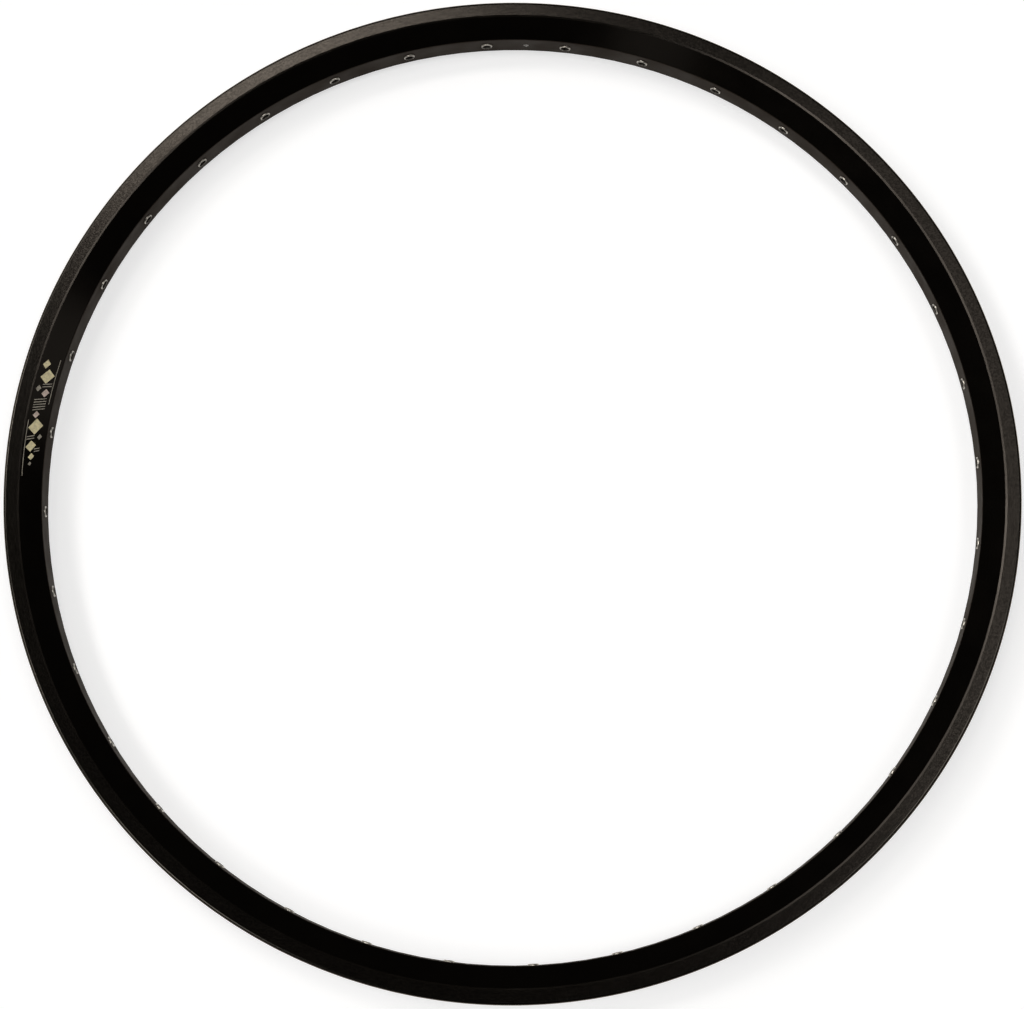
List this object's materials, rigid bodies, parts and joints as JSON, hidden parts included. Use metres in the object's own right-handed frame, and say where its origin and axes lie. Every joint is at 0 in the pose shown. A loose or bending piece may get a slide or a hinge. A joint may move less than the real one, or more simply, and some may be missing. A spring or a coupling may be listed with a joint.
{
  "type": "bicycle rim",
  "caption": "Black double-wall bicycle rim lying flat, with hooked flanges, machined brake tracks, a tyre well, eyeleted spoke holes round the inner bed and a valve hole.",
  "frame": {"origin": "the wheel's centre: on the axle line, in the rim's middle plane", "axes": "+Z along the axle line, up as the rim lies flat; -Y towards the valve hole; +Y towards the weep hole"},
  "size_m": [0.571, 0.571, 0.0324],
  "materials": {
    "rim_black": "black anodised, satin, with machined brake tracks",
    "eyelet_steel": "plated, bright"
  },
  "bodies": {
    "root": {"rim_hoop": "rim_black", "spoke_eyelets": "eyelet_steel"}
  },
  "joints": []
}
